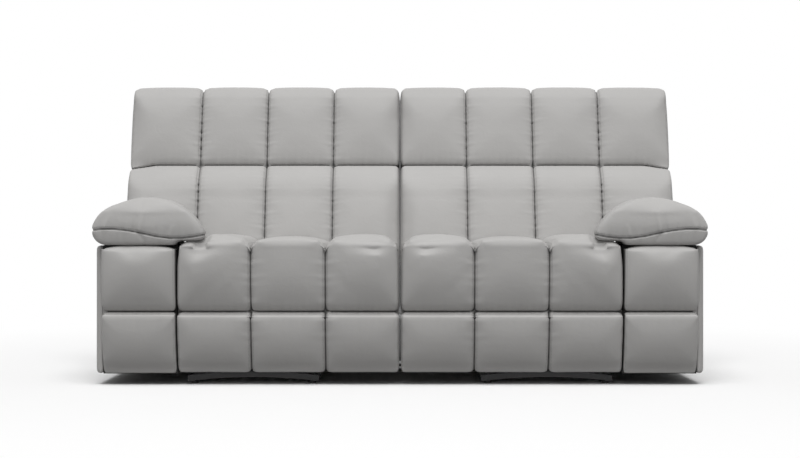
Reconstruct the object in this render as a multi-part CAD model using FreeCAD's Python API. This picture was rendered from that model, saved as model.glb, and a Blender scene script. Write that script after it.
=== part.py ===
"""Two-seat reclining sofa: two mirrored recliner halves on one steel base.

Millimetres. X runs to the right as seen from the front, Y to the rear, Z up.
Places along the depth are written as distances behind the foremost plane.
Every piece of the right half is built once and mirrored for the left half.
"""

import FreeCAD
import Part
import math
import os

# Whole object
WIDTH = 2060.0
DEPTH = 940.0
HEIGHT = 1065.0
CENTRE_GAP = 6.0
PAD_OVERLAP = 33.0
BACK_OVERLAP = 20.0
SKIN = 27.0

# Columns of one half, from the middle of the sofa to the outer side of the arm
ARM_OUTER = WIDTH / 2 - PAD_OVERLAP
COLUMN_PITCH = ARM_OUTER / 4
SKIN_OUTER = ARM_OUTER + SKIN
BACK_REACH = WIDTH / 2 - BACK_OVERLAP

# Clearances
SOFT_GAP = 2.5
PIN_PLAY = 0.05
LAYER_GAP = 0.6

# Stock
STEEL = 4.0
BOARD = 12.0
RAIL = 20.0
TUBE_RADIUS = 8.0
PIN_RADIUS = 6.0
HEAD_RADIUS = 9.0
HEAD = 2.0
EYE = 14.0

# Mechanism, half distance between the seat plates and centre line of one half
MECH_CENTRE = 2 * COLUMN_PITCH
MECH_SPREAD = 0.8 * COLUMN_PITCH
FOOT_RADIUS = 12.0
FOOT_HEIGHT = 7.0
BASE_FRONT = 126.0
BASE_REAR = DEPTH - 228.0
BAR_DEPTH = 19.0
BAR_REACH = MECH_SPREAD + 23.0
BAR_BOW = 14.0
SWING_LENGTH = 100.0
SWING_LEAN = math.radians(25.0)
SWING_FRONT = (275.0, 190.0)
SWING_TO_HINGE = 78.455

# Footrest: nose hinge, lifting pivot on the seat plate and arm of the parallelogram
NOSE = (14.0, 468.0)
NOSE_EYE = 7.0
LIFT = (204.0, 358.0)
REACH = (90.0, -220.0)
TIE_DISTANCE = 90.0
PAD_BACK = 76.0
ROW_SEAM = 248.5
ROW_GAP = 2.5
FRONT_BOTTOM = 38.0
FOOTREST_BOTTOM = 42.0
FOOTREST_TOP = 478.0
LOWER_TUCK = 20.0
BOARD_TOP = 455.0

# Seat box and cushion
BOX_FRONT = 92.0
BOX_TO_HINGE = 33.455
SEAT_TO_HINGE = 169.455
BOX_BOTTOM = 345.0
BOX_TOP = 400.0
SEAT_CROWN = 497.0
SEAT_VALLEY = 480.0
LIP_FRONT = 28.0

# Arm
ARM_TOP = 470.0
ARM_BACK = DEPTH - 190.0
SLOPE_START = ARM_BACK - 60.0
SLOPE_DROP = 30.0
ARM_BOARD_FRONT = 70.0
PAD_TOP = 630.0
PAD_FRONT = 8.0
PAD_TO_HINGE = 158.455
PAD_WIDTH = 382.0
OVERHANG = 486.0

# Back: hinge height, lean and thickness levels in front of and behind the hinge line
LEAN = math.radians(15.5)
HINGE_HEIGHT = 300.0
TOP_REACH = 85.0
HEAD_TOP = (HEIGHT - HINGE_HEIGHT - TOP_REACH * math.sin(LEAN)) / math.cos(LEAN)
FRAME_FRONT = 22.0
FRAME_REAR = 33.0
WEBBING = 2.0
COVER_TOP = HEAD_TOP - 10.0
COVER_BOTTOM = 40.0
FRAME_BOTTOM = 100.0
BACK_SEAM = 0.566 * HEAD_TOP
WING_BOTTOM = 490.0
VALANCE_BEHIND = 30.545
VALANCE_TOP = 285.0
BRACKET_BACK = 10.0
BRACKET_TOP = 190.0

# Release paddle in the outer side of the arm
CUP_CENTRE = (320.0, 330.0)
CUP_HALF = (55.0, 45.0)
CUP_WALL = 3.0
CUP_DEPTH = 22.0
BEZEL = 2.5
BEZEL_RIM = 7.0
PADDLE_AXIS = 360.0
PADDLE_PIN = 3.0

# Derived places
FRONT = -DEPTH / 2
INNER = CENTRE_GAP / 2
PAD_INNER = WIDTH / 2 - PAD_WIDTH
SEAMS = [COLUMN_PITCH * i for i in (1, 2, 3)]
SEAT_OUTER = SEAMS[2] - SOFT_GAP
ARM_INNER = SEAMS[2]
SEAT_LINES = [INNER, SEAMS[0], SEAMS[1], SEAT_OUTER]
BACK_LINES = [INNER] + SEAMS + [BACK_REACH]
COVER_DEPTH = FRAME_REAR + BOARD
HINGE_BACK = DEPTH - COVER_TOP * math.sin(LEAN) - COVER_DEPTH * math.cos(LEAN)
HINGE = (HINGE_BACK, HINGE_HEIGHT)
BOX_REAR = HINGE_BACK - BOX_TO_HINGE
SEAT_REAR = HINGE_BACK - SEAT_TO_HINGE
PAD_REAR = HINGE_BACK - PAD_TO_HINGE
VALANCE_FRONT = HINGE_BACK + VALANCE_BEHIND
SWING_REAR = (HINGE_BACK - SWING_TO_HINGE, SWING_FRONT[1])
RISE = (SWING_LENGTH * math.sin(SWING_LEAN), SWING_LENGTH * math.cos(SWING_LEAN))
SEAT_FRONT_PIVOT = (SWING_FRONT[0] + RISE[0], SWING_FRONT[1] + RISE[1])
SEAT_REAR_PIVOT = (SWING_REAR[0] + RISE[0], SWING_REAR[1] + RISE[1])
ELBOW = (LIFT[0] + REACH[0], LIFT[1] + REACH[1])
KNEE = (NOSE[0] + REACH[0], NOSE[1] + REACH[1])
NOSE_HINGES = [COLUMN_PITCH * 0.5, COLUMN_PITCH * 2.5]

# Sideways layers of the mechanism, counted inward from the outer face of the seat plate
SWING_LAYER = (-LAYER_GAP - STEEL, -LAYER_GAP)
BRACKET_LAYER = (SWING_LAYER[0] - LAYER_GAP - STEEL, SWING_LAYER[0] - LAYER_GAP)
PLATE_LAYER = (0.0, STEEL)
LIFT_LAYER = (STEEL + LAYER_GAP, 2 * STEEL + LAYER_GAP)
PUSH_LAYER = (LIFT_LAYER[1] + LAYER_GAP, LIFT_LAYER[1] + LAYER_GAP + STEEL)
KNEE_LAYER = (PUSH_LAYER[1] + LAYER_GAP, PUSH_LAYER[1] + LAYER_GAP + STEEL)
RAIL_LAYER = (-RAIL, 0.0)
WOOD_RAIL = 30.0


def spread(span, count):
    """Middles of equal shares of a span."""
    share = (span[1] - span[0]) / count
    return [span[0] + share * (i + 0.5) for i in range(count)]


def fuse(shapes):
    """One clean solid from touching or overlapping shapes."""
    whole = shapes[0]
    for shape in shapes[1:]:
        whole = whole.fuse(shape)
    return whole.removeSplitter()


def cut(shape, tools):
    """A shape less every tool."""
    for tool in tools:
        shape = shape.cut(tool)
    return shape


def block(x0, x1, d0, d1, z0, z1):
    """Box between two places in each direction."""
    corner = FreeCAD.Vector(x0, FRONT + d0, z0)
    return Part.makeBox(x1 - x0, d1 - d0, z1 - z0, corner)


def disc(centre, radius, x0, x1):
    """Round bar lying along X."""
    start = FreeCAD.Vector(x0, FRONT + centre[0], centre[1])
    return Part.makeCylinder(radius, x1 - x0, start, FreeCAD.Vector(1, 0, 0))


def plate(outline, x0, x1):
    """Flat plate across X from an outline of depth and height points."""
    corners = [FreeCAD.Vector(x0, FRONT + d, z) for d, z in outline]
    face = Part.Face(Part.makePolygon(corners + corners[:1]))
    return face.extrude(FreeCAD.Vector(x1 - x0, 0, 0))


def bar(a, b, half_width, x0, x1):
    """Flat link with round ends between two pivots."""
    run = math.hypot(b[0] - a[0], b[1] - a[1])
    side = (-(b[1] - a[1]) / run * half_width, (b[0] - a[0]) / run * half_width)
    outline = [
        (a[0] + side[0], a[1] + side[1]),
        (b[0] + side[0], b[1] + side[1]),
        (b[0] - side[0], b[1] - side[1]),
        (a[0] - side[0], a[1] - side[1]),
    ]
    ends = [disc(a, half_width, x0, x1), disc(b, half_width, x0, x1)]
    return fuse([plate(outline, x0, x1)] + ends)


def layer(side, span):
    """The two X places of a sideways layer on the inner (-1) or outer (1) mechanism."""
    places = [MECH_CENTRE + side * (MECH_SPREAD - inward) for inward in span]
    return min(places), max(places)


def outlined(place, start, steps):
    """Face bounded by lines (one point) and arcs (a middle point and an end point)."""
    edges = []
    here = start
    for step in steps:
        if len(step) == 1:
            curve = Part.LineSegment(place(*here), place(*step[0]))
        else:
            curve = Part.Arc(place(*here), place(*step[0]), place(*step[1]))
        edges.append(curve.toShape())
        here = step[-1]
    return Part.Face(Part.Wire(edges))


def profile(start, steps, x0, x1):
    """Prism across X from a curved outline of depth and height points."""
    face = outlined(lambda d, z: FreeCAD.Vector(x0, FRONT + d, z), start, steps)
    return face.extrude(FreeCAD.Vector(x1 - x0, 0, 0))


def scalloped(place, lines, valley, crown, back):
    """Face with one arc over each column and a straight back."""
    start = (lines[0], valley)
    steps = []
    for left, right in zip(lines, lines[1:]):
        steps.append((((left + right) / 2, crown), (right, valley)))
    steps += [((lines[-1], back),), ((lines[0], back),), (start,)]
    return outlined(place, start, steps)


def front_columns(lines, top, bottom, tuck):
    """Columns standing side by side at the front, tucked rearward at the foot."""
    face = scalloped(
        lambda x, d: FreeCAD.Vector(x, FRONT + d, top),
        lines, 11.0, 0.0, 200.0,
    )
    return face.extrude(FreeCAD.Vector(0, tuck, bottom - top))


def base_frame():
    """Two floor rails, bowed front bar, rear bar and four brackets with swing pins."""
    left, right = MECH_CENTRE - BAR_REACH, MECH_CENTRE + BAR_REACH
    low = FOOT_HEIGHT
    high = FOOT_HEIGHT + BAR_DEPTH
    pieces = []
    for side in (-1, 1):
        x0, x1 = layer(side, RAIL_LAYER)
        pieces.append(block(x0, x1, BASE_FRONT, BASE_REAR, low, high))
        x0, x1 = layer(side, BRACKET_LAYER)
        for pivot in (SWING_FRONT, SWING_REAR):
            foot = [
                (pivot[0] - 45, high),
                (pivot[0] + EYE + 4, high),
                (pivot[0] + EYE, pivot[1]),
                (pivot[0] - EYE, pivot[1]),
            ]
            pieces.append(plate(foot, x0, x1))
            pieces.append(disc(pivot, EYE, x0, x1))
            pieces.append(disc(pivot, PIN_RADIUS, *layer(side, (BRACKET_LAYER[0], HEAD))))
            pieces.append(disc(pivot, HEAD_RADIUS, *layer(side, (-LAYER_GAP / 2, HEAD))))
    middle = MECH_CENTRE
    bow = outlined(
        lambda x, z: FreeCAD.Vector(x, FRONT + BASE_FRONT, z),
        (left, low),
        [
            ((middle, low + BAR_BOW), (right, low)),
            ((right, high),),
            ((middle, high + BAR_BOW), (left, high)),
            ((left, low),),
        ],
    )
    pieces.append(bow.extrude(FreeCAD.Vector(0, BAR_DEPTH, 0)))
    pieces.append(block(left, right, BASE_REAR - BAR_DEPTH, BASE_REAR, low, high))
    return fuse(pieces)


def base_feet():
    """Eight round pads under the floor rails."""
    feet = []
    for half in (-1, 1):
        for side in (-1, 1):
            x = MECH_CENTRE + side * MECH_SPREAD
            for d in (BASE_FRONT + FOOT_RADIUS, BASE_REAR - FOOT_RADIUS):
                centre = FreeCAD.Vector(half * x, FRONT + d, 0)
                feet.append(Part.makeCylinder(FOOT_RADIUS, FOOT_HEIGHT, centre))
    return feet


def base_tie_rails():
    """Two flat bars joining the left and right floor frames."""
    reach = layer(-1, RAIL_LAYER)[0]
    rails = []
    for d in ((BASE_FRONT + BASE_REAR) / 2 + RAIL / 2, BASE_REAR - 72):
        rails.append(block(-reach, reach, d, d + RAIL, FOOT_HEIGHT + 5, FOOT_HEIGHT + 15))
    return rails


def swing_links(lower, upper):
    """One short link per mechanism, swinging on the floor bracket."""
    links = []
    for side in (-1, 1):
        x0, x1 = layer(side, SWING_LAYER)
        link = bar(lower, upper, EYE, x0, x1)
        links.append(cut(link, [
            disc(lower, PIN_RADIUS + PIN_PLAY, x0, x1),
            disc(upper, TUBE_RADIUS + PIN_PLAY, x0, x1),
        ]))
    return links


def seat_plates():
    """Two side plates joined by two torque shafts, with lifting and back pins."""
    outline = [
        (LIFT[0] - 18, BOX_BOTTOM - 10), (LIFT[0] - 18, BOX_TOP - 8), (BOX_REAR - RAIL, BOX_TOP - 8),
        (BOX_REAR - RAIL, BOX_BOTTOM), (HINGE[0] + 14, BOX_BOTTOM - 20),
        (HINGE[0] + 14, HINGE[1] - 12), (HINGE[0] - 14, SEAT_REAR_PIVOT[1] - EYE),
        (SEAT_FRONT_PIVOT[0] - EYE, SEAT_REAR_PIVOT[1] - EYE),
    ]
    pieces = []
    for side in (-1, 1):
        pieces.append(plate(outline, *layer(side, PLATE_LAYER)))
        pieces.append(disc(LIFT, PIN_RADIUS, *layer(side, (0, LIFT_LAYER[1] + HEAD))))
        pieces.append(disc(LIFT, HEAD_RADIUS, *layer(
            side, (LIFT_LAYER[1] + LAYER_GAP / 2, LIFT_LAYER[1] + HEAD))))
        outer = (SWING_LAYER[0] - HEAD, SWING_LAYER[0] - LAYER_GAP / 2)
        pieces.append(disc(HINGE, PIN_RADIUS, *layer(side, (outer[0], 0))))
        pieces.append(disc(HINGE, HEAD_RADIUS, *layer(side, outer)))
        for pivot in (SEAT_FRONT_PIVOT, SEAT_REAR_PIVOT):
            pieces.append(disc(pivot, TUBE_RADIUS + 2, *layer(side, outer)))
    for pivot in (SEAT_FRONT_PIVOT, SEAT_REAR_PIVOT):
        left = layer(-1, SWING_LAYER)[0] - HEAD
        right = layer(1, SWING_LAYER)[1] + HEAD
        pieces.append(disc(pivot, TUBE_RADIUS, left, right))
    return fuse(pieces)


def seat_box():
    """Wooden seat frame: front and rear rails, two sides and two mechanism rails."""
    inner_rail = layer(-1, (-WOOD_RAIL, 0))
    outer_rail = layer(1, (-WOOD_RAIL, 0))
    rails = [
        block(INNER, ARM_INNER, BOX_FRONT, BOX_FRONT + RAIL, BOX_BOTTOM, BOX_TOP),
        block(INNER, ARM_INNER, BOX_REAR - RAIL, BOX_REAR, BOX_BOTTOM, BOX_TOP),
        block(INNER, INNER + RAIL, BOX_FRONT, BOX_REAR, BOX_BOTTOM, BOX_TOP),
        block(outer_rail[1], ARM_INNER, BOX_FRONT, BOX_REAR, BOX_BOTTOM, BOX_TOP),
    ]
    for x0, x1 in (inner_rail, outer_rail):
        rails.append(block(x0, x1, BOX_FRONT, BOX_REAR, BOX_BOTTOM, BOX_TOP))
    return fuse(rails)


def seat_springs():
    """Zigzag wire springs strung from the front rail to the rear rail."""
    wire = 3.5
    half = 24.0
    start = BOX_FRONT + RAIL
    run = BOX_REAR - RAIL - start
    turns = 16
    step = (run - wire) / turns
    level = BOX_TOP - 14
    springs = []
    side_bay = (INNER + RAIL, MECH_CENTRE - MECH_SPREAD - WOOD_RAIL)
    middle_bay = (MECH_CENTRE - MECH_SPREAD, MECH_CENTRE + MECH_SPREAD)
    places = spread(side_bay, 3) + spread(middle_bay, 5)
    for x in places:
        pieces = []
        for turn in range(turns + 1):
            d = start + step * turn
            pieces.append(block(x - half, x + half, d, d + wire, level, level + wire))
            if turn < turns:
                edge = x - half if turn % 2 else x + half - wire
                pieces.append(block(edge, edge + wire, d, d + step + wire, level, level + wire))
        springs.append(fuse(pieces))
    return springs


def nose_arms():
    """Steel arms on the front rail that carry the footrest hinge pins."""
    outline = [
        (BOX_FRONT + 1, BOX_TOP), (BOX_FRONT + RAIL, BOX_TOP),
        (BOX_FRONT + RAIL, NOSE[1] - 2), (BOX_FRONT + 12, NOSE[1] + NOSE_EYE),
        (NOSE[0], NOSE[1] + NOSE_EYE), (NOSE[0], NOSE[1] - NOSE_EYE),
        (BOX_FRONT + 1, NOSE[1] - NOSE_EYE - 2),
    ]
    arms = []
    for x in NOSE_HINGES:
        arm = fuse([plate(outline, x, x + STEEL), disc(NOSE, NOSE_EYE, x, x + STEEL)])
        arms.append(cut(arm, [disc(NOSE, PIN_RADIUS - 1 + PIN_PLAY, x, x + STEEL)]))
    return arms


def footrest_ears():
    """Steel ears on the footrest board with the nose hinge pins."""
    top = BOARD_TOP
    outline = [
        (NOSE[0], NOSE[1] - NOSE_EYE), (NOSE[0], NOSE[1] + NOSE_EYE),
        (PAD_BACK + 4, NOSE[1] - 5), (PAD_BACK + BOARD, top + 5),
        (PAD_BACK + BOARD, top), (PAD_BACK, top), (PAD_BACK, top - 27),
        (PAD_BACK - 10, top - 23),
    ]
    ears = []
    for x in NOSE_HINGES:
        x0 = x + STEEL + LAYER_GAP
        ears.append(fuse([
            plate(outline, x0, x0 + STEEL),
            disc(NOSE, NOSE_EYE, x0, x0 + STEEL),
            disc(NOSE, PIN_RADIUS - 1, x - HEAD, x0 + STEEL),
            disc(NOSE, NOSE_EYE, x - HEAD, x - LAYER_GAP / 2),
        ]))
    return ears


def hinge_groove(x):
    """Groove in the footrest padding around one nose hinge."""
    outline = [
        (2, SEAT_CROWN), (2, NOSE[1] - 12), (NOSE[0], NOSE[1] - 12),
        (PAD_BACK - 12, BOARD_TOP - 29), (PAD_BACK, BOARD_TOP - 33),
        (PAD_BACK, SEAT_CROWN),
    ]
    return plate(outline, x - HEAD - 1, x + 2 * STEEL + LAYER_GAP + 1)


def footrest_board():
    """Bent board behind both footrest rows."""
    outline = [
        (PAD_BACK, BOARD_TOP), (PAD_BACK + BOARD, BOARD_TOP),
        (PAD_BACK + BOARD, ROW_SEAM), (PAD_BACK + LOWER_TUCK + BOARD, FOOTREST_BOTTOM),
        (PAD_BACK + LOWER_TUCK, FOOTREST_BOTTOM), (PAD_BACK, ROW_SEAM),
    ]
    return plate(outline, SEAT_LINES[0] + 4, SEAT_OUTER - 4)


def footrest_brackets():
    """Steel brackets behind the footrest board with the knee pins."""
    rear = PAD_BACK + BOARD
    low = 100.0
    slope = LOWER_TUCK * (ROW_SEAM - low) / (ROW_SEAM - FOOTREST_BOTTOM)
    outline = [
        (rear, KNEE[1] + 82), (KNEE[0] + EYE, KNEE[1] + 10), (KNEE[0] + EYE, KNEE[1] - 10),
        (rear + slope + 3, low), (rear + slope, low), (rear, ROW_SEAM),
    ]
    brackets = []
    for side in (-1, 1):
        brackets.append(fuse([
            plate(outline, *layer(side, KNEE_LAYER)),
            disc(KNEE, PIN_RADIUS, *layer(side, (PUSH_LAYER[0] - HEAD, KNEE_LAYER[1]))),
            disc(KNEE, HEAD_RADIUS, *layer(
                side, (PUSH_LAYER[0] - HEAD, PUSH_LAYER[0] - LAYER_GAP / 2))),
        ]))
    return brackets


def upper_row(x0, x1, back, top):
    """Rounded padding of the upper front row."""
    steps = [
        ((14, ROW_SEAM),),
        ((1.5, (ROW_SEAM + top) / 2 - 12), (3, top - 28)),
        ((7, top - 8), (19, top)),
        ((back, top),),
        ((back, ROW_SEAM),),
    ]
    return profile((back, ROW_SEAM), steps, x0, x1)


def lower_row(x0, x1, back, bottom, tuck):
    """Rounded padding of the lower front row, tucked in at the floor."""
    steps = [
        ((15, ROW_SEAM),),
        ((20, (ROW_SEAM + bottom) / 2 - 5), (50, bottom + 8)),
        ((60, bottom),),
        ((back + tuck, bottom),),
        ((back, ROW_SEAM),),
    ]
    return profile((back, ROW_SEAM), steps, x0, x1)


def calf_pad():
    """Upper padding of the footrest in three columns."""
    body = upper_row(INNER, SEAT_OUTER, PAD_BACK, FOOTREST_TOP)
    body = body.common(front_columns(SEAT_LINES, SEAT_CROWN, ROW_SEAM + ROW_GAP / 2, 0))
    return cut(body, [hinge_groove(x) for x in NOSE_HINGES])


def ottoman_pad():
    """Lower padding of the footrest in three columns."""
    body = lower_row(INNER, SEAT_OUTER, PAD_BACK, FOOTREST_BOTTOM, LOWER_TUCK)
    columns = front_columns(SEAT_LINES, ROW_SEAM, FOOTREST_BOTTOM, 34)
    seam = block(INNER, SEAT_OUTER, 0, 200, ROW_SEAM - ROW_GAP / 2, ROW_SEAM + 1)
    return body.common(columns).cut(seam)


def arm_front_pad():
    """Padding of both rows on the front of the arm."""
    lines = [ARM_INNER, ARM_OUTER]
    upper = upper_row(ARM_INNER, ARM_OUTER, ARM_BOARD_FRONT, ARM_TOP - 1)
    upper = upper.common(front_columns(lines, ARM_TOP, ROW_SEAM, 0))
    lower = lower_row(ARM_INNER, ARM_OUTER, ARM_BOARD_FRONT, FRONT_BOTTOM, 0)
    lower = lower.common(front_columns(lines, ROW_SEAM, FRONT_BOTTOM, 34))
    return fuse([upper, lower])


def lift_arms():
    """Two lifting arms on the seat plates joined by a cross tube."""
    share = TIE_DISTANCE / math.hypot(*REACH)
    tie = (LIFT[0] + REACH[0] * share, LIFT[1] + REACH[1] * share)
    pieces = [disc(tie, TUBE_RADIUS, layer(-1, LIFT_LAYER)[0], layer(1, LIFT_LAYER)[1])]
    holes = []
    for side in (-1, 1):
        pieces.append(bar(LIFT, ELBOW, EYE, *layer(side, LIFT_LAYER)))
        pin = layer(side, (LIFT_LAYER[0], PUSH_LAYER[1] + HEAD))
        pieces.append(disc(ELBOW, PIN_RADIUS, *pin))
        head = layer(side, (PUSH_LAYER[1] + LAYER_GAP / 2, PUSH_LAYER[1] + HEAD))
        pieces.append(disc(ELBOW, HEAD_RADIUS, *head))
        holes.append(disc(LIFT, PIN_RADIUS + PIN_PLAY, *layer(side, LIFT_LAYER)))
    return cut(fuse(pieces), holes)


def push_links():
    """Two links that carry the footrest brackets on the elbow pins."""
    links = []
    for side in (-1, 1):
        x0, x1 = layer(side, PUSH_LAYER)
        holes = [disc(pivot, PIN_RADIUS + PIN_PLAY, x0, x1) for pivot in (ELBOW, KNEE)]
        links.append(cut(bar(ELBOW, KNEE, EYE, x0, x1), holes))
    return links


def seat_cushion():
    """Seat cushion in three columns with a thin lip over the footrest hinge."""
    steps = [
        ((BOX_FRONT, FOOTREST_TOP + 2),),
        ((LIP_FRONT, FOOTREST_TOP + 2),),
        ((LIP_FRONT, FOOTREST_TOP + 6),),
        ((35, SEAT_CROWN - 4), (55, SEAT_CROWN)),
        ((SEAT_REAR - 50, SEAT_CROWN),),
        ((SEAT_REAR - 12, SEAT_CROWN - 8), (SEAT_REAR, SEAT_CROWN - 28)),
        ((SEAT_REAR, BOX_TOP),),
        ((BOX_FRONT, BOX_TOP),),
    ]
    body = profile((BOX_FRONT, BOX_TOP), steps, INNER, SEAT_OUTER)
    columns = scalloped(
        lambda x, z: FreeCAD.Vector(x, FRONT, z),
        SEAT_LINES, SEAT_VALLEY + 5, SEAT_CROWN, BOX_TOP,
    )
    body = body.common(columns.extrude(FreeCAD.Vector(0, DEPTH, 0)))
    slots = []
    for x in NOSE_HINGES:
        slots.append(block(
            x - 1, x + STEEL + 1, BOX_FRONT, BOX_FRONT + RAIL + 1, BOX_TOP, FOOTREST_TOP))
    overhang = block(PAD_INNER - 8, ARM_INNER, 0, DEPTH, OVERHANG - 2, HEIGHT)
    return cut(body, slots + [overhang])


def rear_gussets():
    """Plywood knees from the rear rail of the seat box to the rear valance."""
    outline = [
        (BOX_REAR, BOX_TOP - 4), (BOX_REAR, BOX_BOTTOM), (BOX_REAR + 14, BOX_BOTTOM - 25),
        (BOX_REAR + 40, 120), (VALANCE_FRONT, 120), (VALANCE_FRONT, VALANCE_TOP - 5),
        (VALANCE_FRONT - 24, VALANCE_TOP + 45), (VALANCE_FRONT - 34, BOX_TOP - 4),
    ]
    gussets = []
    for x in (MECH_CENTRE - 160, MECH_CENTRE + 148):
        gussets.append(plate(outline, x, x + BOARD))
    return gussets


def rear_valance():
    """Covered board closing the rear below the back."""
    rear = VALANCE_FRONT + BOARD
    return block(INNER + 2, ARM_INNER, VALANCE_FRONT, rear, FRONT_BOTTOM + 7, VALANCE_TOP)


def arm_outline():
    """Side outline shared by the arm boards, sloped down at the rear."""
    return [
        (ARM_BOARD_FRONT, FRONT_BOTTOM), (ARM_BACK, FRONT_BOTTOM),
        (ARM_BACK, ARM_TOP - SLOPE_DROP), (SLOPE_START, ARM_TOP),
        (ARM_BOARD_FRONT, ARM_TOP),
    ]


def arm_frame():
    """Plywood arm box open at the bottom."""
    inner = ARM_INNER + BOARD
    outer = ARM_OUTER - BOARD
    low = ARM_TOP - SLOPE_DROP
    lid = [
        (ARM_BOARD_FRONT, ARM_TOP - BOARD), (ARM_BOARD_FRONT, ARM_TOP),
        (SLOPE_START, ARM_TOP), (ARM_BACK, low), (ARM_BACK, low - BOARD),
        (SLOPE_START, ARM_TOP - BOARD),
    ]
    return fuse([
        plate(arm_outline(), ARM_INNER, inner),
        plate(arm_outline(), outer, ARM_OUTER),
        block(inner, outer, ARM_BOARD_FRONT, ARM_BOARD_FRONT + BOARD, FRONT_BOTTOM, ARM_TOP),
        block(inner, outer, ARM_BACK - BOARD, ARM_BACK, FRONT_BOTTOM, low - BOARD),
        plate(lid, inner, outer),
    ])


def arm_outer_panel():
    """Padded outer side of the arm with the recess for the release cup."""
    front = ARM_BOARD_FRONT - 6
    face = outlined(
        lambda x, d: FreeCAD.Vector(x, FRONT + d, FRONT_BOTTOM),
        (ARM_OUTER, front),
        [
            ((SKIN_OUTER - 6, front + 10), (SKIN_OUTER, front + 34)),
            ((SKIN_OUTER, ARM_BACK - 24),),
            ((SKIN_OUTER - 6, ARM_BACK - 6), (ARM_OUTER, ARM_BACK)),
            ((ARM_OUTER, front),),
        ],
    )
    body = face.extrude(FreeCAD.Vector(0, 0, ARM_TOP - FRONT_BOTTOM))
    past = 10
    drop = SLOPE_DROP * (ARM_BACK + past - SLOPE_START) / (ARM_BACK - SLOPE_START)
    slope = [
        (SLOPE_START, ARM_TOP), (ARM_BACK + past, ARM_TOP), (ARM_BACK + past, ARM_TOP - drop)]
    return cut(body, [plate(slope, ARM_OUTER, SKIN_OUTER), cup_block(0)])


def arm_pad():
    """Wide rounded cushion along the top of the arm."""
    edge = WIDTH / 2
    section = outlined(
        lambda x, z: FreeCAD.Vector(x, FRONT + PAD_FRONT, z),
        (ARM_INNER, ARM_TOP),
        [
            ((ARM_OUTER - 5, ARM_TOP),),
            ((edge - 9, ARM_TOP + 22), (edge, ARM_TOP + 58)),
            ((edge - 30, PAD_TOP - 52), (edge - 86, PAD_TOP - 22)),
            ((edge - 180, PAD_TOP), (edge - 288, PAD_TOP - 25)),
            ((edge - 347, PAD_TOP - 68), (PAD_INNER, OVERHANG + 20)),
            ((PAD_INNER + 8, OVERHANG + 6), (PAD_INNER + 24, OVERHANG)),
            ((ARM_INNER, OVERHANG),),
            ((ARM_INNER, ARM_TOP),),
        ],
    )
    body = section.extrude(FreeCAD.Vector(0, PAD_REAR - PAD_FRONT, 0))
    side = profile(
        (PAD_FRONT + 8, ARM_TOP),
        [
            ((PAD_FRONT, ARM_TOP + 50), (PAD_FRONT + 5, PAD_TOP - 60)),
            ((PAD_FRONT + 20, PAD_TOP - 16), (PAD_FRONT + 60, PAD_TOP)),
            ((PAD_REAR - 60, PAD_TOP),),
            ((PAD_REAR - 14, PAD_TOP - 18), (PAD_REAR, PAD_TOP - 70)),
            ((PAD_REAR, ARM_TOP),),
            ((PAD_FRONT + 8, ARM_TOP),),
        ],
        PAD_INNER - 10, edge,
    )
    return body.common(side)


def cup_block(wall):
    """Block of the release cup, made smaller all round by a wall."""
    d, z = CUP_CENTRE
    half_d, half_z = CUP_HALF
    return block(
        SKIN_OUTER - CUP_DEPTH + wall, SKIN_OUTER + 10,
        d - half_d + wall, d + half_d - wall, z - half_z + wall, z + half_z - wall,
    )


def release_cup():
    """Moulded cup with a rim, sunk in the outer side of the arm."""
    d, z = CUP_CENTRE
    half_d, half_z = CUP_HALF
    shell = block(SKIN_OUTER - CUP_DEPTH, SKIN_OUTER, d - half_d, d + half_d, z - half_z, z + half_z)
    rim = block(
        SKIN_OUTER, SKIN_OUTER + BEZEL,
        d - half_d - BEZEL_RIM, d + half_d + BEZEL_RIM,
        z - half_z - BEZEL_RIM, z + half_z + BEZEL_RIM,
    )
    body = fuse([shell, rim]).cut(cup_block(CUP_WALL))
    return body.cut(paddle_rod(PADDLE_PIN + PIN_PLAY, half_d))


def paddle_rod(radius, half_length):
    """Round bar along Y on the axis of the paddle."""
    start = FreeCAD.Vector(SKIN_OUTER - 9, FRONT + CUP_CENTRE[0] - half_length, PADDLE_AXIS)
    return Part.makeCylinder(radius, 2 * half_length, start, FreeCAD.Vector(0, 1, 0))


def release_paddle():
    """Pull paddle with a barrel and two pins."""
    d = CUP_CENTRE[0]
    half = CUP_HALF[0] - CUP_WALL - LAYER_GAP
    middle = SKIN_OUTER - 9
    low = PADDLE_AXIS - 48
    flap = block(middle - 2, middle + 2, d - half, d + half, low, PADDLE_AXIS)
    lip = block(middle - 2, middle + 5, d - half, d + half, low, low + 4)
    pins = paddle_rod(PADDLE_PIN, CUP_HALF[0] - 0.5)
    return fuse([flap, lip, paddle_rod(5, half), pins])


def tilted(shape):
    """Move a piece drawn upright on the origin to the leaning back hinge."""
    moved = shape.copy()
    moved.rotate(FreeCAD.Vector(0, 0, 0), FreeCAD.Vector(1, 0, 0), -math.degrees(LEAN))
    moved.translate(FreeCAD.Vector(0, FRONT + HINGE[0], HINGE[1]))
    return moved


def upright(x0, x1, v0, v1, u0, u1):
    """Box of the back: v counted forward and u upward from the hinge line."""
    return Part.makeBox(x1 - x0, v1 - v0, u1 - u0, FreeCAD.Vector(x0, -v1, u0))


def wing_space():
    """Room kept free for the arm under the outer column of the back."""
    return block(SEAT_OUTER - 2, WIDTH, 0, 2 * DEPTH, 0, WING_BOTTOM)


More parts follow.
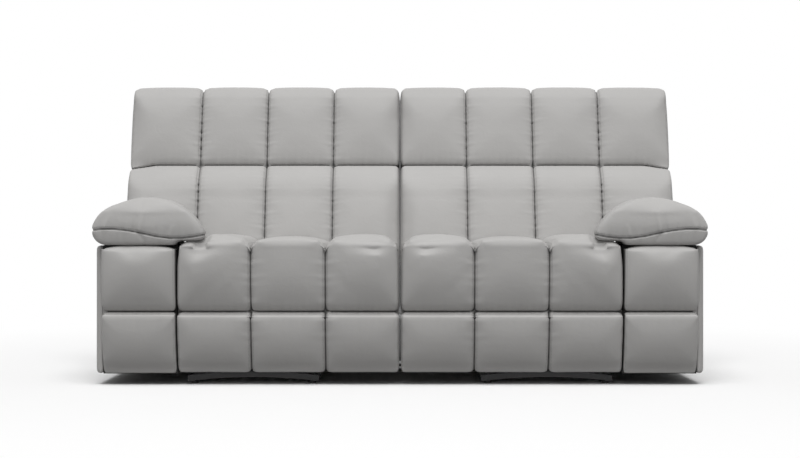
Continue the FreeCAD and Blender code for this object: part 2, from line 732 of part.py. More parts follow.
def back_frame():
    """Wooden frame of the back with posts over the mechanism."""
    side = INNER + 7
    far = BACK_REACH - 12
    rear, front = -FRAME_REAR, FRAME_FRONT
    top = COVER_TOP - BOARD
    arm = SEAT_OUTER - 6
    wing = (WING_BOTTOM - HINGE_HEIGHT + FRAME_REAR * math.sin(LEAN)) / math.cos(LEAN) + 6
    pieces = [
        upright(side, side + RAIL, rear, front, FRAME_BOTTOM, top),
        upright(side, arm, rear, front, FRAME_BOTTOM, FRAME_BOTTOM + 45),
        upright(side, far, rear, front, BACK_SEAM - 20, BACK_SEAM + 20),
        upright(side, far, rear, front, top - 40, top),
        upright(far - RAIL, far, rear, front, wing, top),
        upright(arm - RAIL, far, rear, front, wing, wing + 30),
    ]
    slots = []
    for face in (-1, 1):
        x0, x1 = layer(face, (SWING_LAYER[0] - WOOD_RAIL, SWING_LAYER[0]))
        pieces.append(upright(x0, x1, rear, front, 60, top))
        x0, x1 = layer(face, SWING_LAYER)
        slots.append(upright(x0, x1, -BRACKET_BACK, front, 0, BRACKET_TOP))
    return tilted(cut(fuse(pieces), slots))


def back_brackets():
    """Steel brackets on the back posts that turn on the back pins."""
    brackets = []
    for side in (-1, 1):
        x0, x1 = layer(side, SWING_LAYER)
        origin = FreeCAD.Vector(x0, 0, 0)
        along = FreeCAD.Vector(1, 0, 0)
        front, back, top = FRAME_FRONT - 1, -BRACKET_BACK, BRACKET_TOP
        corners = [(16, 0), (front, 60), (front, top), (back, top), (back, 60), (-16, 0)]
        points = [FreeCAD.Vector(x0, -v, u) for v, u in corners]
        web = Part.Face(Part.makePolygon(points + points[:1]))
        web = web.extrude(FreeCAD.Vector(x1 - x0, 0, 0))
        eye = Part.makeCylinder(16, x1 - x0, origin, along)
        hole = Part.makeCylinder(PIN_RADIUS + PIN_PLAY, x1 - x0, origin, along)
        brackets.append(tilted(fuse([web, eye]).cut(hole)))
    return brackets


def back_webbing():
    """Woven straps across the front of the back frame."""
    straps = []
    low_row = (FRAME_BOTTOM + 50, BACK_SEAM)
    high_row = (BACK_SEAM + 15, COVER_TOP)
    for u in spread(low_row, 4) + spread(high_row, 4):
        far = BACK_REACH - 14 if u > WING_BOTTOM - HINGE_HEIGHT + 40 else SEAT_OUTER - 8
        strap = upright(INNER + 8, far, FRAME_FRONT, FRAME_FRONT + WEBBING, u - 25, u + 25)
        straps.append(tilted(strap))
    return straps


def back_cover():
    """Covered tray closing the rear, top and sides of the back frame."""
    outside = upright(INNER + 3, BACK_REACH - 2, -COVER_DEPTH, FRAME_FRONT, COVER_BOTTOM, COVER_TOP)
    hollow = upright(
        INNER + 7, BACK_REACH - 12, -FRAME_REAR, FRAME_FRONT + 1, COVER_BOTTOM - 1, COVER_TOP - BOARD)
    return tilted(outside.cut(hollow)).cut(wing_space())


def back_cushion(start, steps, lines, valley, crown):
    """Back cushion from a side outline of forward and upward points."""
    side = outlined(lambda v, u: FreeCAD.Vector(0, -v, u), start, steps)
    body = side.extrude(FreeCAD.Vector(BACK_REACH, 0, 0))
    plan = scalloped(lambda x, v: FreeCAD.Vector(x, -v, 0), lines, valley, crown, 0)
    return body.common(plan.extrude(FreeCAD.Vector(0, 0, 2 * HEAD_TOP)))


def lumbar_cushion():
    """Lower back cushion in four columns, stopping above the arm."""
    rear = FRAME_FRONT + WEBBING
    level = BOX_TOP + SOFT_GAP - HINGE_HEIGHT
    tip = 182.0

    def floor_at(v):
        return (level - v * math.sin(LEAN)) / math.cos(LEAN)

    start = (rear, floor_at(rear))
    steps = [
        ((tip, floor_at(tip)),),
        ((203, BACK_SEAM - 266), (193, BACK_SEAM - 136)),
        ((181, BACK_SEAM - 46), (150, BACK_SEAM)),
        ((rear, BACK_SEAM),),
        (start,),
    ]
    body = back_cushion(start, steps, BACK_LINES, 190.0, 204.0)
    return tilted(body).cut(wing_space())


def head_cushion():
    """Upper back cushion in four columns with arched tops."""
    rear = FRAME_FRONT + WEBBING
    low = BACK_SEAM + ROW_GAP
    start = (rear, low)
    steps = [
        ((150, low),),
        ((172, HEAD_TOP - 210), (160, HEAD_TOP - 80)),
        ((136, HEAD_TOP - 22), (TOP_REACH, HEAD_TOP)),
        ((rear, HEAD_TOP - 6),),
        (start,),
    ]
    body = back_cushion(start, steps, BACK_LINES, 156.0, 172.0)
    crowns = scalloped(
        lambda x, u: FreeCAD.Vector(x, 0, u), BACK_LINES, HEAD_TOP - 18, HEAD_TOP, low)
    return tilted(body.common(crowns.extrude(FreeCAD.Vector(0, -300, 0))))


def save(name, shapes):
    """Write one node from one solid or a list of solids."""
    if isinstance(shapes, list):
        shapes = Part.makeCompound(shapes)
    shapes.exportStep("parts/" + name + ".step")


def mirrored(shapes):
    """The same piece on the left half."""
    origin = FreeCAD.Vector(0, 0, 0)
    across = FreeCAD.Vector(1, 0, 0)
    if isinstance(shapes, list):
        return [shape.mirror(origin, across) for shape in shapes]
    return shapes.mirror(origin, across)


os.makedirs("parts", exist_ok=True)

save("base_feet", base_feet())
save("base_tie_rails", base_tie_rails())

half = {
    "base_frame": base_frame(),
    "front_swing_links": swing_links(SWING_FRONT, SEAT_FRONT_PIVOT),
    "rear_swing_links": swing_links(SWING_REAR, SEAT_REAR_PIVOT),
    "seat_plates": seat_plates(),
    "seat_box": seat_box(),
    "seat_springs": seat_springs(),
    "seat_cushion": seat_cushion(),
    "nose_arms": nose_arms(),
    "rear_gussets": rear_gussets(),
    "rear_valance": rear_valance(),
    "arm_frame": arm_frame(),
    "arm_outer_panel": arm_outer_panel(),
    "arm_front_pad": arm_front_pad(),
    "arm_pad": arm_pad(),
    "release_cup": release_cup(),
    "release_paddle": release_paddle(),
    "back_frame": back_frame(),
    "back_brackets": back_brackets(),
    "back_webbing": back_webbing(),
    "back_cover": back_cover(),
    "lumbar_cushion": lumbar_cushion(),
    "head_cushion": head_cushion(),
    "footrest_board": footrest_board(),
    "footrest_ears": footrest_ears(),
    "footrest_brackets": footrest_brackets(),
    "calf_pad": calf_pad(),
    "ottoman_pad": ottoman_pad(),
    "lift_arms": lift_arms(),
    "push_links": push_links(),
}

for name, shapes in half.items():
    save(name + "_right", shapes)
    save(name + "_left", mirrored(shapes))
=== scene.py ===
# %% [markdown]
# # A reclining sofa in grey leather
# The steel, wood and springs of this sofa come from a measured model, and they stay as they are.
# This lesson gives them their finishes, and builds everything that an upholsterer adds: padded
# columns, arm cushions, welts, seams and pleats. Lengths are in metres, and left and right are as
# seen from the front. The right half is made first, because the left half is its mirror.

# %% Load the measured model
import math

import bmesh
import bpy
import numpy as np
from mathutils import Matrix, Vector
from mathutils.bvhtree import BVHTree


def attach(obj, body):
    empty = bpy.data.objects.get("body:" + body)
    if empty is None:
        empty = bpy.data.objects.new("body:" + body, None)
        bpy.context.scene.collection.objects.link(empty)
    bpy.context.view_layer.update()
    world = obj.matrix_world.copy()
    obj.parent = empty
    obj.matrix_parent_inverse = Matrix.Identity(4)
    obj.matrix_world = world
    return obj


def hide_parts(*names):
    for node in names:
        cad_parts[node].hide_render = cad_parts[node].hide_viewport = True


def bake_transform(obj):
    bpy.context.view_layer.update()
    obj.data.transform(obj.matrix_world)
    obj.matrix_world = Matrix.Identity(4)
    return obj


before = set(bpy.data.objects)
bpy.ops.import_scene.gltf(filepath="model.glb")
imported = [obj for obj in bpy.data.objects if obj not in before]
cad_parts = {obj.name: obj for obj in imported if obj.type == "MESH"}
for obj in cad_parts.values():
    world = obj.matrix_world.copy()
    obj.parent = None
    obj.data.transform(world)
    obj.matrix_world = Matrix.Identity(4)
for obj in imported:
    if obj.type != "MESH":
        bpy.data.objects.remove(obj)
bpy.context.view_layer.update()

DEPTH_MIDDLE = 0.470

# %% [markdown]
# ## Selecting in code
# An operator acts on what is selected, so a script begins each step by choosing one object. These
# small helpers do that, and they read or write all the points of a mesh as one table of numbers,
# which is how the padding is shaped later.

# %% Choose, read and write
def choose(*objects):
    """Makes these the only selected objects, the last one active."""
    if bpy.context.object and bpy.context.object.mode != "OBJECT":
        bpy.ops.object.mode_set(mode="OBJECT")
    bpy.ops.object.select_all(action="DESELECT")
    for item in objects:
        item.select_set(True)
    bpy.context.view_layer.objects.active = objects[-1]


def edit_all(item):
    """Enters edit mode with the whole mesh selected."""
    choose(item)
    bpy.ops.object.mode_set(mode="EDIT")
    bpy.ops.mesh.select_all(action="SELECT")


def done():
    """Leaves edit mode."""
    bpy.ops.object.mode_set(mode="OBJECT")


def points(item):
    """Every vertex of a mesh as rows of x, y, z."""
    table = np.zeros(len(item.data.vertices) * 3)
    item.data.vertices.foreach_get("co", table)
    return table.reshape(-1, 3)


def put(item, table):
    """Writes such rows back as the places of the vertices."""
    item.data.vertices.foreach_set("co", table.ravel())
    item.data.update()


def directions(item):
    """The outward direction at every vertex."""
    table = np.zeros(len(item.data.vertices) * 3)
    item.data.vertex_normals.foreach_get("vector", table)
    return table.reshape(-1, 3)


def apply(item, kind, **settings):
    """Adds one modifier, sets it up and applies it."""
    choose(item)
    bpy.ops.object.modifier_add(type=kind)
    modifier = item.modifiers[-1]
    for name, value in settings.items():
        setattr(modifier, name, value)
    bpy.ops.object.modifier_apply(modifier=modifier.name)


def smoothstep(value, low, high):
    """Rises softly from 0 at `low` to 1 at `high`."""
    share = np.clip((value - low) / (high - low), 0, 1)
    return share * share * (3 - 2 * share)


print("helpers: choose, edit_all, done, points, put, directions, apply, smoothstep")

# %% [markdown]
# ## Camera
# The view is level and looks straight at the middle of the sofa from about five metres, a little
# above the seat. A long lens keeps the columns parallel, as in a catalogue picture.

# %% Camera
bpy.ops.object.camera_add(location=(0, -5.67, 0.524), rotation=(math.pi / 2, 0, 0))
camera = bpy.context.object
camera.name = "camera"
camera.data.lens = 70.5
camera.data.sensor_width = 36
bpy.context.scene.camera = camera
bpy.context.scene.view_settings.view_transform = "Standard"
print("camera at", [round(v, 3) for v in camera.location], "lens", camera.data.lens)

# %% [markdown]
# ## Studio
# The floor is pale and keeps the shadow of the sofa. Further out it turns into plain white, but
# only for what the camera, a reflection or clear glass shows. The light that bounces back onto the
# sofa comes from a darker floor and a weaker sky, so the undersides of the pads fall into shade.

# %% A new material, and the rays that are seen
def new_material(name):
    """A node material with one Principled shader. Returns it with its nodes and its links."""
    material = bpy.data.materials.new(name)
    material.use_nodes = True
    return material, material.node_tree.nodes, material.node_tree.links


def seen_rays(nodes, links):
    """One for what the camera, a reflection or clear glass shows, and zero for bouncing light."""
    light_path = nodes.new("ShaderNodeLightPath")
    seen = light_path.outputs["Is Camera Ray"]
    for kind in ("Is Glossy Ray", "Is Transmission Ray"):
        larger = nodes.new("ShaderNodeMath")
        larger.operation = "MAXIMUM"
        links.new(seen, larger.inputs[0])
        links.new(light_path.outputs[kind], larger.inputs[1])
        seen = larger.outputs["Value"]
    return seen


print("helpers: new_material, seen_rays")

# %% Floor
FLOOR_SIDE = 60
WHITE_FROM, WHITE_TO = 1.3, 3.4
bpy.ops.mesh.primitive_plane_add(size=1, location=(0, 0, 0))
floor = bpy.context.object
floor.name = "floor"
edit_all(floor)
bpy.ops.transform.resize(value=(FLOOR_SIDE, FLOOR_SIDE, 1))
done()
print("floor", FLOOR_SIDE, "m square")

# %% Pale floor that fades to white
pale_floor, nodes, links = new_material("pale_floor")
shader = nodes["Principled BSDF"]
shader.inputs["Roughness"].default_value = 0.9
shader.inputs["Specular IOR Level"].default_value = 0.1
seen = seen_rays(nodes, links)
tone = nodes.new("ShaderNodeMix")
tone.data_type = "RGBA"
tone.inputs["A"].default_value = (0.22, 0.22, 0.22, 1)
tone.inputs["B"].default_value = (0.94, 0.94, 0.94, 1)
links.new(seen, tone.inputs["Factor"])
links.new(tone.outputs["Result"], shader.inputs["Base Color"])
place = nodes.new("ShaderNodeTexCoord")
distance = nodes.new("ShaderNodeVectorMath")
distance.operation = "LENGTH"
links.new(place.outputs["Object"], distance.inputs[0])
far = nodes.new("ShaderNodeMapRange")
far.interpolation_type = "SMOOTHSTEP"
far.inputs["From Min"].default_value = WHITE_FROM
far.inputs["From Max"].default_value = WHITE_TO
links.new(distance.outputs["Value"], far.inputs["Value"])
both = nodes.new("ShaderNodeMath")
both.operation = "MULTIPLY"
links.new(seen, both.inputs[0])
links.new(far.outputs["Result"], both.inputs[1])
white = nodes.new("ShaderNodeEmission")
white.inputs["Color"].default_value = (1, 1, 1, 1)
blend_out = nodes.new("ShaderNodeMixShader")
links.new(both.outputs["Value"], blend_out.inputs["Fac"])
links.new(shader.outputs["BSDF"], blend_out.inputs[1])
links.new(white.outputs["Emission"], blend_out.inputs[2])
links.new(blend_out.outputs["Shader"], nodes["Material Output"].inputs["Surface"])
floor.data.materials.append(pale_floor)
print("floor turns white from", WHITE_FROM, "to", WHITE_TO, "m")

# %% World
SKY_ON_SOFA, SKY_SEEN = 0.28, 1.0
world = bpy.data.worlds.new("studio")
bpy.context.scene.world = world
world.use_nodes = True
nodes, links = world.node_tree.nodes, world.node_tree.links
background = nodes["Background"]
background.inputs["Color"].default_value = (1, 1, 1, 1)
level = nodes.new("ShaderNodeMapRange")
level.inputs["To Min"].default_value = SKY_ON_SOFA
level.inputs["To Max"].default_value = SKY_SEEN
links.new(seen_rays(nodes, links), level.inputs["Value"])
links.new(level.outputs["Result"], background.inputs["Strength"])
print("sky strength", SKY_ON_SOFA, "on the sofa,", SKY_SEEN, "seen")

# %% [markdown]
# ## Lamps
# A soft sun high in front makes the tops of the pads bright and lets their lower edges fall into
# shade. A sun doesn't grow weaker from the top of the back to the floor, as a near lamp would. A
# weak square lamp in front fills the shade.

# %% Lamps
def aim(light, place, target):
    """Puts a lamp at a place and turns it to face another."""
    light.location = place
    light.rotation_euler = (Vector(target) - Vector(place)).to_track_quat("-Z", "Y").to_euler()


bpy.ops.object.light_add(type="SUN")
key = bpy.context.object
key.name = "key"
key.data.energy = 2.45
key.data.angle = math.radians(48)
aim(key, (0, -2.1, 4.6), (0, 0, 0))
bpy.ops.object.light_add(type="AREA")
soft = bpy.context.object
soft.name = "soft_front"
soft.data.size = 2.4
soft.data.energy = 17
aim(soft, (0, -4.6, 1.9), (0, 0, 0.5))

# %% [markdown]
# ## Leather
# The cover is a mid-grey split leather with a printed grain. Three things make it believable: a
# fine pebble grain, long shallow creases, and painted shade that darkens the colour down in the
# seams, where the crease is in shadow, while the crowns keep the plain tone. The seams are marked
# on the mesh by an attribute named `seam`, the distance from the nearest seam in metres, and the
# group below turns that distance into painted shade and a row of stitches. The grain could be a
# picture, but a pattern from noise has no edges and needs no map.

# %% Helpers for node groups
def socket(group, name, kind, way, value=None):
    """Adds one named input or output to a node group."""
    made = group.interface.new_socket(name=name, socket_type=kind, in_out=way)
    if value is not None:
        made.default_value = value


def node(tree, kind, values=None, **settings):
    """Adds a node, with its settings and the values of its inputs."""
    made = tree.nodes.new(kind)
    for name, value in settings.items():
        setattr(made, name, value)
    for name, value in (values or {}).items():
        made.inputs[name].default_value = value
    return made


def pattern(name):
    """A node group that gives out a colour, a roughness and a height."""
    group = bpy.data.node_groups.new(name, "ShaderNodeTree")
    socket(group, "Colour", "NodeSocketColor", "OUTPUT")
    socket(group, "Roughness", "NodeSocketFloat", "OUTPUT")
    socket(group, "Height", "NodeSocketFloat", "OUTPUT")
    place = node(group, "ShaderNodeTexCoord")
    return group, place.outputs["Object"], node(group, "NodeGroupOutput")


print("helpers: socket, node, pattern")

# %% Grain and tone of the leather
leather_surface, place, result = pattern("leather_surface")
socket(leather_surface, "Light", "NodeSocketColor", "INPUT", (0.40, 0.39, 0.38, 1))
socket(leather_surface, "Dark", "NodeSocketColor", "INPUT", (0.34, 0.335, 0.33, 1))
tree, link = leather_surface, leather_surface.links.new
given = node(tree, "NodeGroupInput")
pebble = node(tree, "ShaderNodeTexVoronoi", {"Scale": 420, "Smoothness": 0.6},
              feature="SMOOTH_F1")
cloud = node(tree, "ShaderNodeTexNoise", {"Scale": 7, "Detail": 4})
crease = node(tree, "ShaderNodeTexNoise", {"Scale": 34, "Detail": 5, "Distortion": 1.6})
for grain in (pebble, cloud, crease):
    link(place, grain.inputs["Vector"])
tone = node(tree, "ShaderNodeMix", data_type="RGBA")
link(cloud.outputs["Fac"], tone.inputs["Factor"])
link(given.outputs["Dark"], tone.inputs["A"])
link(given.outputs["Light"], tone.inputs["B"])
print("leather grain:", len(tree.nodes), "nodes")

# %% Painted shade in the seams
PAINTED_SHADE_WIDTH = 0.0045
seam = node(tree, "ShaderNodeAttribute", attribute_name="seam")
near = node(tree, "ShaderNodeMapRange",
            {"From Min": 0.0, "From Max": PAINTED_SHADE_WIDTH, "To Min": 1.0, "To Max": 0.0},
            interpolation_type="SMOOTHSTEP")
link(seam.outputs["Fac"], near.inputs["Value"])
fade = node(tree, "ShaderNodeMath", {1: 0.94}, operation="MULTIPLY")
link(near.outputs["Result"], fade.inputs[0])
# Painted shade: near each seam the leather colour is multiplied towards near black, standing in
# for the shadow in the crease.
painted_shade = node(tree, "ShaderNodeMix", data_type="RGBA", blend_type="MULTIPLY")
painted_shade.inputs["B"].default_value = (0.05, 0.049, 0.048, 1)
link(fade.outputs["Value"], painted_shade.inputs["Factor"])
link(tone.outputs["Result"], painted_shade.inputs["A"])
print("seams shaded to", PAINTED_SHADE_WIDTH * 1000, "mm")

# %% Stitches beside the seams
STITCH_AWAY, THREAD_HALF = 0.0085, 0.0006
run = node(tree, "ShaderNodeVectorMath", operation="DOT_PRODUCT")
run.inputs[1].default_value = (140, 140, 140)
link(place, run.inputs[0])
part = node(tree, "ShaderNodeMath", operation="FRACT")
link(run.outputs["Value"], part.inputs[0])
dash = node(tree, "ShaderNodeMath", {1: 0.34}, operation="GREATER_THAN")
link(part.outputs["Value"], dash.inputs[0])
beside = node(tree, "ShaderNodeMath", {1: STITCH_AWAY, 2: THREAD_HALF}, operation="COMPARE")
link(seam.outputs["Fac"], beside.inputs[0])
thread = node(tree, "ShaderNodeMath", operation="MULTIPLY")
link(dash.outputs["Value"], thread.inputs[0])
link(beside.outputs["Value"], thread.inputs[1])
sewn = node(tree, "ShaderNodeMix", data_type="RGBA")
sewn.inputs["B"].default_value = (0.33, 0.325, 0.32, 1)
link(thread.outputs["Value"], sewn.inputs["Factor"])
link(painted_shade.outputs["Result"], sewn.inputs["A"])
link(sewn.outputs["Result"], result.inputs["Colour"])
print("stitches", STITCH_AWAY * 1000, "mm from the seams")

# %% Roughness and relief of the leather
rough = node(tree, "ShaderNodeMapRange", {"To Min": 0.48, "To Max": 0.62})
link(crease.outputs["Fac"], rough.inputs["Value"])
link(rough.outputs["Result"], result.inputs["Roughness"])
fine = node(tree, "ShaderNodeMath", {1: 0.16}, operation="MULTIPLY")
link(pebble.outputs["Distance"], fine.inputs[0])
coarse = node(tree, "ShaderNodeMath", {1: 0.9}, operation="MULTIPLY_ADD")
link(crease.outputs["Fac"], coarse.inputs[0])
link(fine.outputs["Value"], coarse.inputs[2])
raised = node(tree, "ShaderNodeMath", {1: 0.5}, operation="MULTIPLY_ADD")
link(thread.outputs["Value"], raised.inputs[0])
link(coarse.outputs["Value"], raised.inputs[2])
link(raised.outputs["Value"], result.inputs["Height"])
print("leather group:", len(tree.nodes), "nodes")


# %% Grey leather
def finish_of(name, group, depth, strength=0.4, metal=0.0):
    """A Principled shader that takes its colour, roughness and relief from one pattern group."""
    material, nodes, links = new_material(name)
    shader = nodes["Principled BSDF"]
    surface = nodes.new("ShaderNodeGroup")
    surface.name = "surface"
    surface.node_tree = group
    relief = nodes.new("ShaderNodeBump")
    relief.inputs["Distance"].default_value = depth
    relief.inputs["Strength"].default_value = strength
    links.new(surface.outputs["Colour"], shader.inputs["Base Color"])
    links.new(surface.outputs["Roughness"], shader.inputs["Roughness"])
    links.new(surface.outputs["Height"], relief.inputs["Height"])
    links.new(relief.outputs["Normal"], shader.inputs["Normal"])
    shader.inputs["Metallic"].default_value = metal
    return material


grey_leather = finish_of("grey_leather", leather_surface, 0.0012, 0.45)
nodes = grey_leather.node_tree.nodes
nodes["surface"].inputs["Light"].default_value = (0.475, 0.467, 0.457, 1)
nodes["surface"].inputs["Dark"].default_value = (0.435, 0.428, 0.42, 1)
nodes["Principled BSDF"].inputs["Specular IOR Level"].default_value = 0.32
print("grey leather:", len(nodes), "nodes round the group")

# %% [markdown]
# ## How a padded piece is made
# The measured model holds each pad as a plain foam block. An upholsterer cuts such a block, wraps
# it, and sews it down in lines, and the padding swells between the lines. The steps here follow
# that: copy the foam, give it an even net of points, soften its corners, hold the seams and let
# air pressure swell the rest like cloth, limit how far it may swell, and then pull the seams in.
# Moving points by hand could do it too, but cloth finds the full, uneven round of real padding.

# %% Foam to even net
COLUMN = 0.24925


def foam(name, *model_nodes):
    """One new object with copies of the foam blocks, merged."""
    copies = []
    for source in model_nodes:
        copy = bpy.data.objects.new(name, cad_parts[source].data.copy())
        bpy.context.scene.collection.objects.link(copy)
        copy.data.materials.clear()
        copies.append(copy)
    choose(*copies)
    if len(copies) > 1:
        bpy.ops.object.join()
    whole = bpy.context.object
    whole.name = name
    edit_all(whole)
    bpy.ops.mesh.remove_doubles(threshold=0.00001)
    done()
    return whole


def net(item, spacing, rounds):
    """Covers a block with an even net and softens its corners."""
    apply(item, "REMESH", mode="VOXEL", voxel_size=spacing)
    if rounds:
        apply(item, "SMOOTH", factor=0.5, iterations=rounds)


def snap_columns(item, spacing, lines):
    """Moves the row of points nearest to each upright seam onto it."""
    place = points(item)
    for line in lines:
        near = np.abs(place[:, 0] - line) < spacing * 0.5
        place[near, 0] = line
    put(item, place)


def from_lines(place, lines):
    """How far each point is, across the sofa, from the nearest upright seam."""
    if not len(lines):
        return np.full(len(place), 1.0)
    return np.min(np.abs(place[:, :1] - np.array(lines)[None, :]), axis=1)


print("columns are", round(COLUMN * 1000), "mm wide")

# %% Swell between the seams
PRESSURE, STIFFNESS, MOMENTS = 4.0, 4.0, 20


def calm(item, field, rounds):
    """Evens out a movement over the net, so that broad swelling stays and sharp folds fade."""
    ends = np.zeros(len(item.data.edges) * 2, int)
    item.data.edges.foreach_get("vertices", ends)
    first, second = ends.reshape(-1, 2).T
    count = len(field)
    share = np.bincount(first, minlength=count) + np.bincount(second, minlength=count)
    for _ in range(rounds):
        total = [np.bincount(first, field[second, k], count)
                 + np.bincount(second, field[first, k], count) for k in range(3)]
        field = 0.4 * field + 0.6 * np.array(total).T / share[:, None]
    return field


def swell(item, held, limit, rounds):
    """Inflates the cover with its held points fixed, and stops each point after a given way."""
    before = points(item)
    group = item.vertex_groups.new(name="held")
    group.add([int(i) for i in np.nonzero(held)[0]], 1.0, "REPLACE")
    choose(item)
    bpy.ops.object.modifier_add(type="CLOTH")
    cloth = item.modifiers[-1]
    cloth.settings.quality = 4
    cloth.settings.use_pressure = True
    cloth.settings.uniform_pressure_force = PRESSURE
    cloth.settings.bending_stiffness = STIFFNESS
    cloth.settings.vertex_group_mass = "held"
    cloth.settings.effector_weights.gravity = 0
    for moment in range(1, MOMENTS + 1):
        bpy.context.scene.frame_set(moment)
    choose(item)
    bpy.ops.object.modifier_apply(modifier=cloth.name)
    bpy.context.scene.frame_set(1)
    step = points(item) - before
    way = np.linalg.norm(step, axis=1, keepdims=True)
    print(item.name, "swelled by", round(float(way.mean()) * 1000, 1), "mm before the limit")
    step = calm(item, step * np.minimum(1, limit / np.maximum(way, 1e-9)), rounds)
    put(item, before + step * ~held[:, None])
    item.vertex_groups.clear()


def keep_near(item, source, room):
    """Brings back what stands further than `room` outside the foam block."""
    solid = BVHTree.FromPolygons(
        [v.co[:] for v in source.data.vertices], [p.vertices[:] for p in source.data.polygons]
    )
    place = points(item)
    for index, point in enumerate(place):
        spot, outward, _, gap = solid.find_nearest(Vector(point))
        if (Vector(point) - spot).dot(outward) > 0 and gap > room:
            place[index] = spot + (Vector(point) - spot) * (room / gap)
    put(item, place)


def between(item, axis, low, high):
    """Flattens a pad against its neighbours: nothing passes these two planes."""
    place = points(item)
    place[:, axis] = np.clip(place[:, axis], low, high)
    put(item, place)


print("pads swell for", MOMENTS, "moments at pressure", PRESSURE)

# %% Pull the seams in
GROOVE, GROOVE_HALF = 0.010, 0.0048
GATHER, GATHER_FADE = 0.0011, 0.020


def roll(distance, reach):
    """Depth of a seam: a quarter round that falls steeply at the seam itself."""
    inside = np.clip(1 - np.abs(distance) / reach, 0, 1)
    return 1 - np.sqrt(np.clip(1 - inside * inside, 0, 1))


def refine(item):
    """Divides every face once and shades the surface smoothly."""
    apply(item, "SUBSURF", levels=1, render_levels=1)
    choose(item)
    bpy.ops.object.shade_smooth()


def gathers(run):
    """Uneven small waves along a seam, where the thread draws the leather together."""
    waves = ((0.023, 0.4), (0.037, 1.9), (0.061, 4.2), (0.149, 2.6))
    return sum(np.sin(run * 2 * math.pi / length + start) for length, start in waves) / 2


def pull_in(item, away, across, depth, reach, groove=GROOVE):
    """Pulls the cover in by a wide roll and a narrow groove, and not along the axis `across`."""
    place, outward = points(item), directions(item)
    outward[:, across] = 0
    size = np.linalg.norm(outward, axis=1)
    outward = outward / np.maximum(size, 1e-6)[:, None]
    pull = depth * roll(away, reach) + groove * np.clip(1 - away / GROOVE_HALF, 0, 1)
    run = place[:, 1] + place[:, 2] if across == 0 else place[:, 0]
    pull += gathers(run) * np.exp(-away / GATHER_FADE) * GATHER
    put(item, place - outward * (pull * np.minimum(1, size * 1.5))[:, None])


def sew_columns(item, lines, depth, reach):
    """Pulls in the upright seams and returns how far each point is from the nearest."""
    away = from_lines(points(item), lines)
    pull_in(item, away, 0, depth, reach)
    return away


def fold(item, start, end, width, height):
    """Raises or sinks a soft pleat between two places, given across and up, on the front."""
    place, outward = points(item), directions(item)
    flat = place[:, [0, 2]]
    a, b = np.array(start), np.array(end)
    along = np.clip(((flat - a) @ (b - a)) / ((b - a) @ (b - a)), 0, 1)
    away = np.linalg.norm(flat - a - along[:, None] * (b - a), axis=1)
    lift = height * np.exp(-(away / width) ** 2) * (outward[:, 1] < 0.2) * (1 - along * 0.6)
    put(item, place + outward * lift[:, None])


print("seams are", GROOVE * 1000, "mm deep and", GROOVE_HALF * 2000, "mm wide")


# %% Finish a pad and mirror it
def mark_seams(item, away):
    """Stores the distance from the nearest seam, which the leather group reads for its painted
    shade and its stitches.
    """
    attribute = item.data.attributes.new("seam", "FLOAT", "POINT")
    attribute.data.foreach_set("value", np.asarray(away, np.float32))


def finish_pad(item, away):
    """Marks the seams and puts the leather on."""
    mark_seams(item, away)
    item.data.materials.clear()
    item.data.materials.append(grey_leather)


def mirrored(item, name):
    """The same piece for the left half, with its own mesh and its faces outward again."""
    copy = bpy.data.objects.new(name, item.data.copy())
    bpy.context.scene.collection.objects.link(copy)
    edit_all(copy)
    bpy.ops.transform.resize(value=(-1, 1, 1), center_override=(0, 0, 0))
    bpy.ops.mesh.flip_normals()
    done()
    return copy


print("helpers: mark_seams, finish_pad, mirrored")

# %% [markdown]
# ## One recipe for every pad
# Each pad below is described by a few choices: which foam blocks it covers, where its seams run,
# which points are held down while it swells, and how far it may swell. The helper does the work in
# the order given above, and then makes the mirrored pad and puts both on their moving bodies.

# %% The recipe
def make_pad(name, foam_nodes, lines=(), fillers=(), spacing=0.008, rounds=8, held=None,
             limit=0.014, soft=8, room=0.009, depth=0.012, reach=0.028, ends=(), walls=(-2, 2),
             groove=GROOVE, rows=None, before_seams=None):
    """Makes the right-hand pad and returns it with its distances from the seams."""
    source = foam(name + "_foam", *[n + "_right" for n in foam_nodes])
    for low, high in fillers:
        bpy.ops.mesh.primitive_cube_add(size=1, location=[(a + b) / 2 for a, b in zip(low, high)])
        block = bpy.context.object
        edit_all(block)
        bpy.ops.transform.resize(value=[b - a for a, b in zip(low, high)])
        done()
        choose(block, source)
        bpy.ops.object.join()
    cover = bpy.data.objects.new(name + "_right", source.data.copy())
    bpy.context.scene.collection.objects.link(cover)
    net(cover, spacing, rounds)
    snap_columns(cover, spacing, lines)
    place = points(cover)
    still = from_lines(place, lines) < 0.002
    if held is not None:
        still |= held(place)
    if limit:
        swell(cover, still, limit, soft)
    keep_near(cover, source, room)
    between(cover, 0, *walls)
    bpy.data.objects.remove(source)
    refine(cover)
    if before_seams:
        before_seams(cover)
    away = sew_columns(cover, lines, depth, reach)
    away = np.minimum(away, from_lines(points(cover), ends)) if ends else away
    if rows:
        gap = rows(points(cover))
        pull_in(cover, gap, 2, depth, reach, groove)
        away = np.minimum(away, gap)
    return cover, away


def dress(cover, away, nodes, body, hinge=None):
    """Gives the pad its finish, makes its mirror image and lets both ride. Given a hinge, both
    stay where they are, on no body.
    """
    finish_pad(cover, away)
    other = mirrored(cover, cover.name.replace("_right", "_left"))
    for piece, side in ((cover, "right"), (other, "left")):
        if nodes:
            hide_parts(*[n + "_" + side for n in nodes])
        if hinge:
            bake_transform(piece)
        else:
            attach(piece, body + "_" + side)
    print(cover.name, len(cover.data.polygons), "faces")


print("helpers: make_pad, dress")

# %% [markdown]
# ## Seat and footrest cover
# One cover runs from the back of the seat, over the front edge and nearly down to the floor, in
# three columns and two rows. The seat part lies on the seat and the front part on the footrest,
# which swings up at a hinge in the front edge. The cover is made as one piece and left where it is
# made, on neither body. Two separate pads would show a gap at the front edge when the footrest
# opens.

